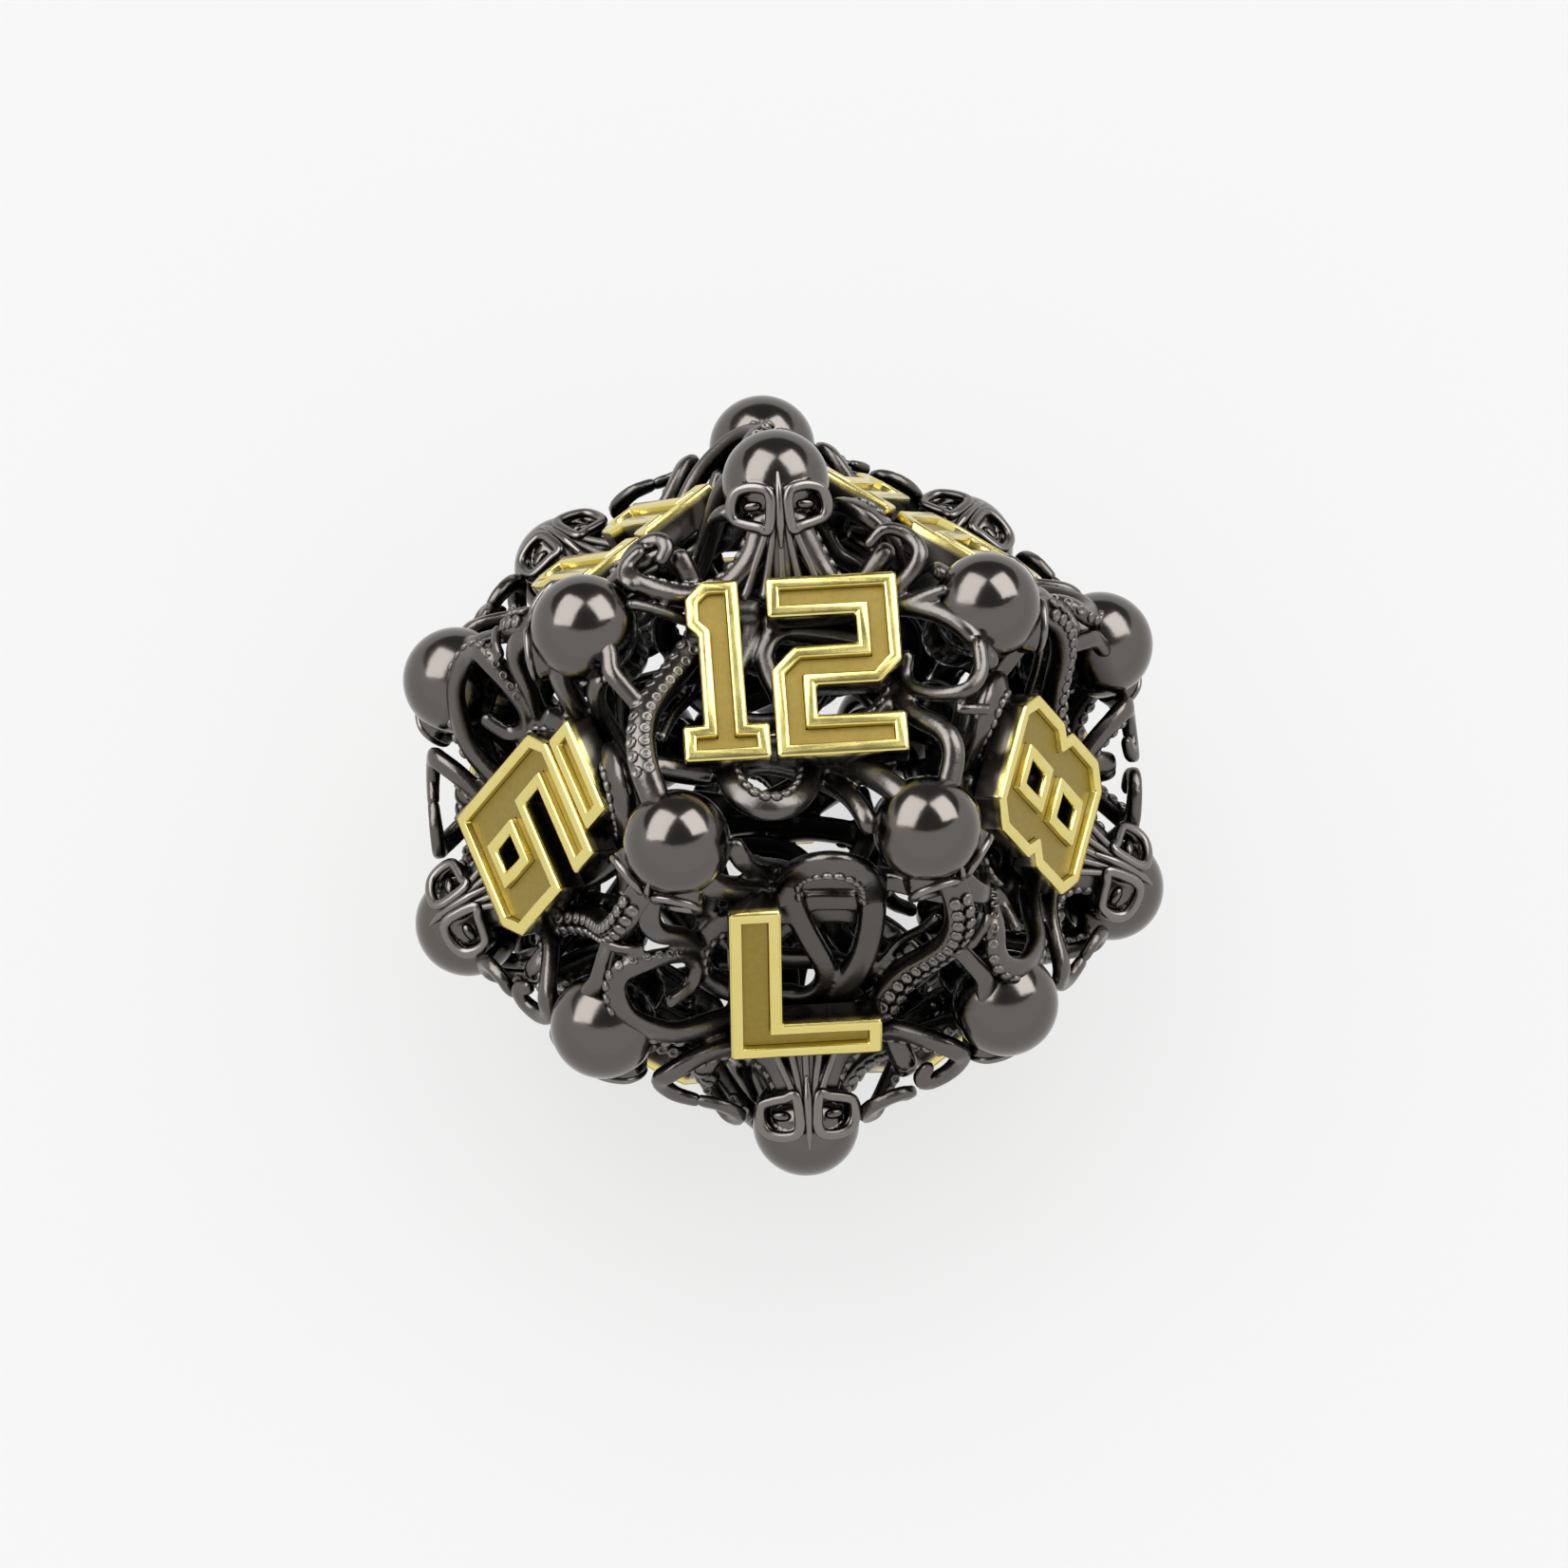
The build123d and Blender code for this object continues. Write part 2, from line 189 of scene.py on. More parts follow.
def tube(path, radii, outward, sides=20, flat=1.0, squareness=1.0):
    """A closed tube: rings square to the path, and a few shrinking rings as a round end.

    A ring is a superellipse: the cosine across and the sine outwards, each raised to squareness
    with its sign kept, and the sine flattened. A squareness below 1 gives a boxy section.
    """
    path, radii = np.asarray(path, float), np.asarray(radii, float)
    tangent = np.gradient(path, axis=0)
    tangent /= np.linalg.norm(tangent, axis=1)[:, None]
    reach = np.sqrt(1 - ROUND_END**2)[:, None]
    head = path[0] - tangent[0] * radii[0] * reach
    tail = path[-1] + tangent[-1] * radii[-1] * reach[::-1]
    path = np.vstack([head, path, tail])
    radii = np.concatenate([radii[0] * ROUND_END, radii, radii[-1] * ROUND_END[::-1]])
    ends = len(ROUND_END)
    tangent = np.vstack([tangent[:1]] * ends + [tangent] + [tangent[-1:]] * ends)
    outward = np.asarray(outward, float)
    outward = np.vstack([outward[:1]] * ends + [outward] + [outward[-1:]] * ends)
    side = np.cross(tangent, outward)
    side /= np.linalg.norm(side, axis=1)[:, None]
    lift = np.cross(side, tangent)
    angle = np.linspace(0, 2 * pi, sides, endpoint=False)
    across = np.sign(np.cos(angle)) * np.abs(np.cos(angle)) ** squareness
    high = flat * np.sign(np.sin(angle)) * np.abs(np.sin(angle)) ** squareness
    ring = side[:, None] * across[None, :, None] + lift[:, None] * high[None, :, None]
    verts = (path[:, None] + ring * radii[:, None, None]).reshape(-1, 3)
    faces = [tuple(q) for q in ring_quads(len(path), sides)]
    faces.append(tuple(range(sides)))
    faces.append(tuple(range(len(verts) - sides, len(verts)))[::-1])
    return verts, faces


peg = tube([(0, 0, 0), (1, 0, 0)], [0.2, 0.2], [(0, 0, 1)] * 2)
print("a straight peg has", len(peg[0]), "corners and", len(peg[1]), "faces")


# %% Balls
def ball(centre, radii, axes=np.eye(3), rings=14, sides=24):
    """A closed ellipsoid whose radii lie along the rows of axes: the sine of the turn from the
    north times the cosine and sine round it, and the cosine of the turn. Mirrored axes turn the
    faces, so they are turned back."""
    turn = np.linspace(0, pi, rings + 1)[1:-1]
    angle = np.linspace(0, 2 * pi, sides, endpoint=False)
    grid = np.stack(
        [
            np.sin(turn)[:, None] * np.cos(angle),
            np.sin(turn)[:, None] * np.sin(angle),
            np.cos(turn)[:, None] * np.ones(sides),
        ],
        axis=-1,
    ).reshape(-1, 3)
    local = np.vstack([grid, [[0, 0, 1], [0, 0, -1]]]) * np.asarray(radii)
    verts = local @ np.asarray(axes) + np.asarray(centre)
    north, south, last = len(grid), len(grid) + 1, (rings - 2) * sides
    faces = [tuple(q) for q in ring_quads(rings - 1, sides)]
    faces += [(north, a, (a + 1) % sides) for a in range(sides)]
    faces += [(south, last + (a + 1) % sides, last + a) for a in range(sides)]
    if np.linalg.det(axes) < 0:
        faces = [face[::-1] for face in faces]
    return verts, faces


print("a ball has", len(ball((0, 0, 0), (1, 1, 1))[1]), "faces")


# %% The fuse
def joined(parts):
    """Several meshes as one list of corners and one of faces, each counted on from the last."""
    verts, faces, start = [], [], 0
    for v, f in parts:
        verts.append(v)
        faces += [tuple(start + i for i in face) for face in f]
        start += len(v)
    return np.vstack(verts), faces


def fused(parts, voxel, smooth):
    """One skin around overlapping parts, in drawing millimetres: corners and quads. The skin
    follows the outside of all the parts on a grid of voxels, and each pass of smoothing moves a
    corner half the way to the mean of its neighbours."""
    mesh = bpy.data.meshes.new("rough")
    verts, faces = joined(parts)
    mesh.from_pydata(verts.tolist(), [], faces)
    rough = bpy.data.objects.new("rough", mesh)
    bpy.context.collection.objects.link(rough)
    remesh = rough.modifiers.new("fuse", "REMESH")
    remesh.mode = "VOXEL"
    remesh.voxel_size = voxel
    relax = rough.modifiers.new("relax", "SMOOTH")
    relax.factor = 0.5
    relax.iterations = smooth
    finished = rough.evaluated_get(bpy.context.evaluated_depsgraph_get())
    skin = bpy.data.meshes.new_from_object(finished)
    verts = np.empty(len(skin.vertices) * 3)
    skin.vertices.foreach_get("co", verts)
    quads = np.empty(len(skin.loops), int)
    skin.loops.foreach_get("vertex_index", quads)
    bpy.data.objects.remove(rough)
    return verts.reshape(-1, 3), quads.reshape(-1, 4)


two_balls = [ball((0, 0, 0), (1, 1, 1)), ball((1, 0, 0), (1, 1, 1))]
print("two balls fuse into", len(fused(two_balls, 0.2, smooth=1)[1]), "quads")


# %% Into place
LOOKS_OUT, LOOKS_IN = 0.25, -0.35  # cosines between which a surface turns from out to in


def keep_value(mesh, label, values):
    """Stores one number at each point of a mesh, for its material to read."""
    attribute = mesh.attributes.new(label, "FLOAT", "POINT")
    attribute.data.foreach_set("value", np.asarray(values, float))


def piece(name, shape, axes, origin, node):
    """A finished object that stands for a CAD node, set from drawing millimetres into place:
    each corner is its three numbers times the three axes, moved to the origin given.

    The value inside goes from 0 where the surface looks outwards to 1 where it looks at the
    middle of the die, by the cosine between its facing and the way from the middle; the plate is
    painted nearly black as shade by it. The second value is 1 on the thin parts that stand on the
    skin, whose plate is painted lighter as a sheen.
    """
    verts, faces, skin_count = shape
    mesh = bpy.data.meshes.new(name)
    place = (np.asarray(verts) @ axes + origin) * MM + MIDDLE
    mesh.from_pydata(place.tolist(), [], faces)
    mesh.polygons.foreach_set("use_smooth", [True] * len(mesh.polygons))
    mesh.update()
    facing = np.empty(len(place) * 3)
    mesh.vertex_normals.foreach_get("vector", facing)
    away = place - MIDDLE
    away /= np.linalg.norm(away, axis=1)[:, None]
    cosine = (facing.reshape(-1, 3) * away).sum(axis=1)
    # The inside value paints the plate nearly black as shade in the cage.
    inside = np.clip((LOOKS_OUT - cosine) / (LOOKS_OUT - LOOKS_IN), 0, 1)
    keep_value(mesh, "inside", inside)
    # The set-on parts are marked here; their plate is painted lighter as a sheen.
    keep_value(mesh, "set_on_sheen", np.arange(len(place)) >= skin_count)
    obj = bpy.data.objects.new(name, mesh)
    bpy.context.collection.objects.link(obj)
    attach(obj, BODY)
    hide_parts(node)
    return obj


print("pieces ride on", BODY)

# %% [markdown]
# ## The arms of one face
# Every side face carries the same tangle. It could be sculpted, but a short list of places is
# easier to change and fits any face: x to the right and y to the head that looks in, with the
# arm's radius at both ends. The places are laid onto a pillow, flat below the figure and at full
# height at the edges. Lift raises an arm off the pillow, dip lowers its start below a head, and
# flat is its height over its width. The suckers are small cups in rows along some arms, set on
# after the fuse so that their rims stay crisp. A row has a start and an end, as shares of the
# arm's length, and the side to which it leans.

# %% The twisted arms of a side face
ARMS = {
    "neck_left": dict(
        radii=(0.46, 0.26),
        dip=0.55,
        places=[(-0.35, 5.7), (-0.9, 4.6), (-1.7, 3.85), (-2.7, 3.3), (-3.7, 3.0), (-4.6, 3.1)]
        + [(-5.0, 3.8), (-4.7, 4.5), (-4.0, 4.7), (-3.6, 4.3), (-3.8, 3.9)],
        suckers=[(0.15, 0.6, -1)],
    ),
    "neck_right": dict(
        radii=(0.46, 0.26),
        dip=0.55,
        places=[(0.35, 5.7), (0.9, 4.6), (1.8, 3.85), (2.8, 3.45), (3.8, 3.3), (4.5, 3.6)]
        + [(4.7, 4.2), (4.3, 4.75), (3.6, 4.8)],
        suckers=[(0.15, 0.6, 1)],
    ),
    "web": dict(radii=(0.5, 0.42), dip=0.35, places=[(0, 5.8), (0, 4.5), (0, 3.4), (-0.4, 2.4)]),
    "coil": dict(
        radii=(0.46, 0.26),
        places=[(2.0, 2.9), (3.2, 2.6), (4.2, 2.2), (5.0, 1.5), (5.7, 0.7), (6.0, -0.2)]
        + [(5.7, -1.0), (4.9, -1.25), (4.2, -0.8), (3.9, 0.0), (4.0, 0.8), (4.5, 0.95)],
        suckers=[(0.2, 0.75, 1)],
        lift=0.1,
    ),
    "c_arc": dict(
        radii=(0.44, 0.44),
        places=[(0.3, -2.0), (1.2, -2.05), (2.2, -1.9), (3.1, -1.6), (3.7, -0.9), (3.85, 0)]
        + [(3.6, 0.9), (2.9, 1.55), (2.1, 1.85), (1.0, 2.1), (0.4, 2.2)],
        suckers=[(0.25, 0.6, 1)],
        lift=-0.1,
    ),
    "loop": dict(
        radii=(0.5, 0.36),
        flat=0.72,
        places=[(-1.15, 2.7), (-1.6, 1.6), (-2.2, 0.3), (-2.5, -1.0), (-2.6, -2.4), (-2.35, -3.6)]
        + [(-1.8, -4.4), (-1.0, -4.75), (-0.2, -4.6), (0.35, -4.0), (0.5, -3.2), (0.3, -2.3)]
        + [(0, -1.4), (-0.4, -0.4), (-0.75, 0.5), (-0.85, 1.3), (-0.4, 2.0), (0.4, 2.2)],
        suckers=[(0.3, 0.68, 1)],
    ),
    "sucker_arm": dict(
        radii=(0.52, 0.5),
        places=[(-1.2, 2.9), (-2.0, 2.9), (-2.7, 2.7), (-3.2, 1.9), (-3.8, 0.9), (-4.3, 0)]
        + [(-4.7, -1.0), (-4.85, -2.0), (-4.8, -3.0), (-4.6, -4.2)],
        suckers=[(0.2, 0.95, 0.45), (0.2, 0.95, -0.45)],
        lift=0.05,
    ),
}
print(len(ARMS), "twisted arms on a side face")

# %% Bars, ties and the deeper arms of a side face
ARMS |= {
    "bar": dict(
        radii=(0.2, 0.2),
        places=[(-2.3, 1.7), (-3.3, 0.5), (-4.1, -0.9), (-4.4, -2.0)],
        lift=-0.25,
    ),
    "stub": dict(
        radii=(0.42, 0.46),
        places=[(0.5, -3.0), (1.2, -2.9), (1.9, -3.3), (2.7, -4.0), (3.5, -5.0)],
    ),
    "beam": dict(radii=(0.35, 0.35), places=[(0.6, -2.4), (-1.0, -2.3), (-2.4, -2.2)], lift=-0.3),
    "left_arm": dict(
        radii=(0.34, 0.3),
        places=[(-6.5, 1.9), (-5.7, 1.0), (-5.6, 0.2), (-5.2, -0.5), (-4.75, -1.2)],
    ),
    "tie": dict(
        radii=(0.4, 0.36),
        places=[(4.7, -4.6), (4.9, -3.4), (4.7, -2.5), (4.2, -1.8), (3.9, -1.0)],
    ),
    "short_bar": dict(radii=(0.2, 0.2), places=[(5.2, -1.75), (6.3, -1.7)], lift=-0.05),
    "under_left": dict(
        radii=(0.4, 0.36),
        places=[(-3.3, 4.3), (-2.6, 2.4), (-1.0, 1.2), (0.9, 0.9), (2.6, 0.2), (3.6, -1.4)]
        + [(3.2, -3.2)],
        lift=-0.75,
    ),
    "under_right": dict(
        radii=(0.4, 0.36),
        places=[(3.4, 4.2), (2.2, 2.8), (1.7, 1.0), (0.7, -0.6), (-0.9, -1.2), (-2.6, -0.8)]
        + [(-4.2, 0.6)],
        lift=-0.85,
    ),
    "under_low": dict(
        radii=(0.4, 0.36),
        places=[(-4.6, -3.0), (-3.0, -3.3), (-1.4, -2.9), (0.2, -3.3), (1.6, -4.2), (2.2, -5.4)],
        lift=-0.75,
    ),
}
print(len(ARMS), "arms on a side face in all")

# %% The pillow they lie on
ARM_FLOOR = FIGURE_BACK_MM - 0.52  # middle of the arms below the figure
ARM_EDGE = 11.9  # distance of the arms from the middle of the die where two faces meet
FLOOR_TURN = radians(19.5)  # the arms stay low this far from the face's direction
EDGE_TURN = FACE_TURN / 2
LEAN_OUT = 0.6  # share of the way from the middle in an arm's outward direction
DIP_RUN = 14  # points over which an arm comes up from under the head


def on_cage(x, y):
    """Places on the pillow's middle surface, for arrays of face coordinates. The distance from
    the middle is the floor's over the cosine of the turn, and then rises to the edge's by the
    smooth step 3 r squared less 2 r cubed."""
    turn = np.arctan2(np.hypot(x, y), DATUM_PLANE)
    low = ARM_FLOOR / np.cos(np.minimum(turn, FLOOR_TURN))
    rise = np.clip((turn - FLOOR_TURN) / (EDGE_TURN - FLOOR_TURN), 0, 1)
    distance = low + (ARM_EDGE - low) * rise**2 * (3 - 2 * rise)
    way = np.stack([x, y, np.full_like(x, DATUM_PLANE)], axis=1)
    return way / np.linalg.norm(way, axis=1)[:, None] * distance[:, None]


def arm_route(arm):
    """Path, radii and outward directions of an arm. Its outward direction is a mean of the way
    from the middle and of the face's own. Its lift raises it all along, and its dip lowers its
    start, ever less with each point."""
    places = smooth_path(arm["places"])
    path = on_cage(places[:, 0], places[:, 1])
    away = path / np.linalg.norm(path, axis=1)[:, None]
    away = away * LEAN_OUT + UP * (1 - LEAN_OUT)
    away /= np.linalg.norm(away, axis=1)[:, None]
    start = np.clip(1 - np.arange(len(path)) / DIP_RUN, 0, 1)
    path = path + away * (arm.get("lift", 0) - arm.get("dip", 0) * start)[:, None]
    radii = np.linspace(*arm["radii"], len(path))
    return path, radii, away


middle_and_edge = on_cage(np.zeros(2), np.array([0.0, DATUM_PLANE * np.tan(EDGE_TURN)]))
print("arms' distance at middle and edge:", np.linalg.norm(middle_and_edge, axis=1).round(2), "mm")

# %% Ribs below the beak, and the arms of the top face
FAN = [
    dict(
        radii=(0.1, 0.17),
        places=[(0.08 * i, 5.35), (0.25 * i, 4.7), (0.5 * i, 4.0), (0.7 * i, 3.3)],
        lift=0.42,
    )
    for i in (-2, -1, 0, 1, 2)
]

# On the top face the right neck arm ends in a ring, the coil is an open hook, and two pegs
# and a small hook stand beside the figure.
TOP_ARMS = {
    "neck_right": dict(
        radii=(0.46, 0.2),
        dip=0.55,
        places=[(0.35, 5.7), (0.9, 4.7), (1.7, 3.7), (2.4, 3.0), (3.2, 2.75), (4.0, 3.0)]
        + [(4.3, 3.65), (4.0, 4.3), (3.3, 4.5), (2.8, 4.2)],
        suckers=[(0.15, 0.5, 1)],
    ),
    "coil": dict(
        radii=(0.26, 0.26),
        places=[(4.1, 0.5), (4.05, -0.4), (4.55, -1.1), (5.3, -1.2), (5.85, -0.6), (5.85, 0.3)],
        lift=0.3,
    ),
    "coil_back": dict(
        radii=(0.4, 0.36),
        places=[(2.4, 2.9), (3.6, 2.5), (4.8, 1.7), (5.7, 0.8), (6.4, 0)],
    ),
    "left_peg": dict(radii=(0.2, 0.2), places=[(-4.8, 2.3), (-3.9, 2.3), (-3.0, 2.3)], lift=0.3),
    "right_peg": dict(radii=(0.2, 0.2), places=[(3.2, 2.2), (4.0, 2.2), (4.9, 2.2)], lift=0.3),
    "left_hook": dict(
        radii=(0.24, 0.2),
        places=[(-4.5, 4.2), (-4.95, 3.8), (-5.05, 3.3), (-4.7, 2.9)],
        lift=0.2,
    ),
}
print(len(FAN), "ribs,", len(ARMS | TOP_ARMS), "arms on the top face")

# %% A sucker
CUP_PROFILE = np.array([(1.05, -0.35), (1.0, 0.3), (0.75, 0.5), (0.4, 0.2)])


def cup(sides=8):
    """A sucker: a raised ring around a dimple. Each point of its profile, radius and height, is
    turned about the upright axis. One point closes the dimple and one face closes the foot."""
    angle = np.linspace(0, 2 * pi, sides, endpoint=False)
    circle = np.stack([np.cos(angle), np.sin(angle)], axis=1)
    rings = np.empty((len(CUP_PROFILE), sides, 3))
    rings[..., :2] = CUP_PROFILE[:, :1, None] * circle
    rings[..., 2] = CUP_PROFILE[:, 1:]
    verts = np.vstack([rings.reshape(-1, 3), [[0, 0, 0.0]]])
    faces = [tuple(q) for q in ring_quads(len(CUP_PROFILE), sides)[:, ::-1]]
    last = len(verts) - 1 - sides
    faces += [(last + j, last + (j + 1) % sides, len(verts) - 1) for j in range(sides)]
    faces.append(tuple(range(sides))[::-1])
    return verts, faces


print("a sucker has", len(cup()[1]), "faces")

# %% A row of suckers
SUCKER_RADIUS = 0.22
SUCKER_STEP = 2.3  # from one sucker to the next, in sucker radii
SUCKER_LEAN = radians(62)  # a row's turn from the top of its arm towards the side
FULL_ARM_RADIUS = 0.42  # a thinner arm has smaller suckers
SUNK = 0.95  # a sucker's foot stands at this share of the arm's radius
LOOK_AHEAD = 0.05  # the way along the arm is taken over this length


def sucker_row(arm, start, end, side):
    """Cups along part of an arm, from share start to share end of its length. Each leans from
    outwards towards the arm's left by side times the full lean, so -1 is the right."""
    path, radii, away = arm_route(arm)
    run = np.concatenate([[0], np.cumsum(np.linalg.norm(np.diff(path, axis=0), axis=1))])
    cup_verts, cup_faces = cup()
    row = []
    at = start * run[-1]
    while at < end * run[-1]:
        here = np.array([np.interp(at, run, path[:, i]) for i in range(3)])
        ahead = np.array([np.interp(at + LOOK_AHEAD, run, path[:, i]) for i in range(3)])
        out = unit([np.interp(at, run, away[:, i]) for i in range(3)])
        radius = np.interp(at, run, radii)
        along = unit(ahead - here)
        left = unit(np.cross(out, along))
        lean = side * SUCKER_LEAN
        up = unit(out * cos(lean) + left * sin(lean))
        size = SUCKER_RADIUS * min(1.0, radius / FULL_ARM_RADIUS)
        axes = np.array([along, np.cross(up, along), up])
        row.append((cup_verts * size @ axes + here + up * radius * SUNK, cup_faces))
        at += size * SUCKER_STEP
    return row


print(len(sucker_row(ARMS["coil"], *ARMS["coil"]["suckers"][0])), "suckers on the coil")

# %% All the arms of a face
ARM_VOXEL = 0.092  # fine enough to keep thin arms, and under 200,000 triangles for a face


def arm_mesh(arms, flat, squareness):
    """All the arms of a face in one skin, with the ribs and suckers set on: corners, faces, and
    how many of the corners are the skin's."""
    tubes = [
        tube(*arm_route(arm), flat=arm.get("flat", flat), squareness=squareness)
        for arm in arms.values()
    ]
    verts, quads = fused(tubes, ARM_VOXEL, smooth=4)
    ribs = [tube(*arm_route(rib), sides=10) for rib in FAN]
    cups = []
    for arm in arms.values():
        for row in arm.get("suckers", []):
            cups += sucker_row(arm, *row)
    print(len(quads), "quads on the arms of a face,", len(cups), "suckers")
    return *joined([(verts, quads.tolist())] + ribs + cups), len(verts)


side_mesh = arm_mesh(ARMS, flat=0.78, squareness=0.6)
top_mesh = arm_mesh(ARMS | TOP_ARMS, flat=0.95, squareness=0.85)
arm_pieces = []
for name in face_names:
    shape = top_mesh if name == "12" else side_mesh
    axes = face_axes(name)
    obj = piece(f"octopus_arms_{name}", shape, axes, 0, f"arms_{name}")
    arm_pieces.append(obj)
print(len(arm_pieces), "faces of arms")

# %% [markdown]
# ## The heads
# A head is a smooth dome with two ringed eyes on a muzzle that ends in a beak. It could be
# sculpted, but balls for the dome and muzzle, tubes for the neck and beak, and rings for the
# walls of the eye sockets fuse into the same shape. The wires round the eyes, the eyeballs and
# the ridge of the nose are thin, and the fuse would blur them, so they are set on afterwards.

# %% Eyes
EYE_SIDE, EYE_FORWARD, EYE_OUT = 0.93, 1.84, -0.165  # middle of an eye
EYE_WIRE = 0.19
EYE_WIRE_SIDES = 12
EYE_WIRE_HEIGHT = 0.75  # of the wire's width
EYE_LOOK = (0.34, 0.86, 0.38)  # to the side, forwards and outwards
EYE_OUTLINE = [(-0.66, 0.15), (-0.45, 0.55), (0.1, 0.66), (0.6, 0.5), (0.74, 0.05)]
EYE_OUTLINE += [(0.6, -0.42), (0.15, -0.6), (-0.3, -0.7), (-0.64, -0.82), (-0.7, -0.35)]
PER_SPAN = 6


def eye_axes(side):
    """Rows: away from the nose, up, and the way an eye looks. The first two are the side and
    the outward direction, made square to the third."""
    look = unit([EYE_LOOK[0] * side, *EYE_LOOK[1:]])
    across = square_to(np.array([side, 0, 0.0]), look)
    return np.array([across, square_to(UP, look), look])


def eye_ring(side, depth=0.0):
    """Closed ring around an eye: round at its outer corner, drawn down to the beak inside. Its
    section is an ellipse: the cosine away from the outline, the sine along the look."""
    axes = eye_axes(side)
    around = EYE_OUTLINE[-2:] + EYE_OUTLINE + EYE_OUTLINE[:2]
    closed = smooth_path(around, PER_SPAN)[2 * PER_SPAN : -2 * PER_SPAN]
    loop = np.column_stack([closed, np.zeros(len(closed))])
    centre = np.array([EYE_SIDE * side, EYE_FORWARD, EYE_OUT]) - depth * axes[2]
    path = loop @ axes + centre
    tangent = np.roll(path, -1, axis=0) - np.roll(path, 1, axis=0)
    tangent /= np.linalg.norm(tangent, axis=1)[:, None]
    away = np.cross(tangent, axes[2])
    away /= np.linalg.norm(away, axis=1)[:, None]
    angle = np.linspace(0, 2 * pi, EYE_WIRE_SIDES + 1)[:-1, None]
    ring = away[:, None] * np.cos(angle) + EYE_WIRE_HEIGHT * axes[2] * np.sin(angle)
    verts = path[:, None] + EYE_WIRE * ring
    quads = ring_quads(len(path), EYE_WIRE_SIDES, endless=True)
    return verts.reshape(-1, 3), [tuple(q) for q in quads]


print("an eye ring has", len(eye_ring(1)[1]), "faces")

# %% Parts of a head
DOME_MIDDLE = np.array([0, 0, -0.3])
DOME_RADIUS = 1.8
SOCKET_DEPTHS = (0.2, 0.4, 0.6)  # rings below the crisp one, which wall the socket
EYEBALL_RADII = (0.36, 0.2, 0.18)
EYEBALL_DEPTH, EYEBALL_ASIDE = 0.25, 0.06
SKEW = (0.13, 0.21, 1.0)  # a direction that no part of a head runs along


def free_tube(points, radii):
    """A tube through places given in the head's own directions. Its radius runs in straight
    steps through the radii given, evenly spaced along the way."""
    path = smooth_path(points)
    out = np.tile(SKEW, (len(path), 1))
    share = np.linspace(0, 1, len(path))
    return tube(path, np.interp(share, np.linspace(0, 1, len(radii)), radii), out)


head_parts = [
    ball(DOME_MIDDLE, (DOME_RADIUS, DOME_RADIUS, DOME_RADIUS), rings=48, sides=96),
    ball((0, 0.75, -0.8), (1.25, 1.05, 0.95)),
    free_tube([(0, -0.1, -0.6), (0, -0.05, -1.4), (0, 0, -2.1)], [1.4, 1.2, 1.15]),
    free_tube([(0, 1.5, -0.3), (0, 1.95, -0.9), (0, 2.2, -1.3)], [0.5, 0.3, 0.1]),
]
eyeballs = []
set_on = [
    free_tube(
        [(0, 1.35, 0.85), (0, 1.75, 0.45), (0, 2.08, -0.1), (0, 2.3, -0.7), (0, 2.45, -1.4)],
        [0.05, 0.12, 0.14, 0.16, 0.07],
    ),
]
for side in (-1, 1):
    eye_middle = np.array([EYE_SIDE * side, EYE_FORWARD, EYE_OUT])
    look = eye_axes(side)
    head_parts += [eye_ring(side, depth) for depth in SOCKET_DEPTHS]
    set_on.append(eye_ring(side))
    eyeball_middle = eye_middle - EYEBALL_DEPTH * look[2] + EYEBALL_ASIDE * look[0]
    eyeballs.append(ball(eyeball_middle, EYEBALL_RADII, look))
print(len(head_parts), "parts to fuse,", len(set_on) + len(eyeballs), "to set on")

# %% One head, set at every corner
HEAD_VOXEL = 0.08
NEAR_DOME, FADE = 0.035, 0.015  # as shares of the dome's radius


def polished(verts):
    """Moves corners near the dome onto it, as a wheel would: each goes along its way from the
    dome's middle, by a share that fades out just off the dome."""
    from_dome = (verts - DOME_MIDDLE) / DOME_RADIUS
    reach = np.linalg.norm(from_dome, axis=1)[:, None]
    share = np.clip((NEAR_DOME - np.abs(reach - 1)) / FADE, 0, 1)
    return verts * (1 - share) + (DOME_MIDDLE + from_dome / reach * DOME_RADIUS) * share


head_verts, head_quads = fused(head_parts, HEAD_VOXEL, smooth=3)
skin = joined([(polished(head_verts), head_quads.tolist())] + eyeballs)
head_mesh = (*joined([skin] + set_on), len(skin[0]))
print(len(head_mesh[1]), "faces on a head")
head_pieces = []
for name in head_names:
    axes = head_axes(name)
    corner = axes[2] * CORNER_RADIUS
    head_pieces.append(piece(f"octopus_{name}", head_mesh, axes, corner, name))

# %% [markdown]
# ## The figures
# A cast figure has no knife edges. It could be drawn again as text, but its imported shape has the
# right strokes, so each one starts from that, loses the needless lines between its flat
# triangles, and has every sharp edge rounded. An attribute keeps how far each point stands from
# the middle of the die: gold reaches only part of the way down the sides.

# %% Rounded figures
EDGE_ROUND = 0.08
SAME_PLACE = 0.002  # corners this near are one
FLAT_TURN = radians(2)  # a line where the surface turns less is needless
SHARP_TURN = radians(20)  # an edge where it turns more is rounded
CREASE_TURN = radians(35)  # shading breaks where the finished surface turns more


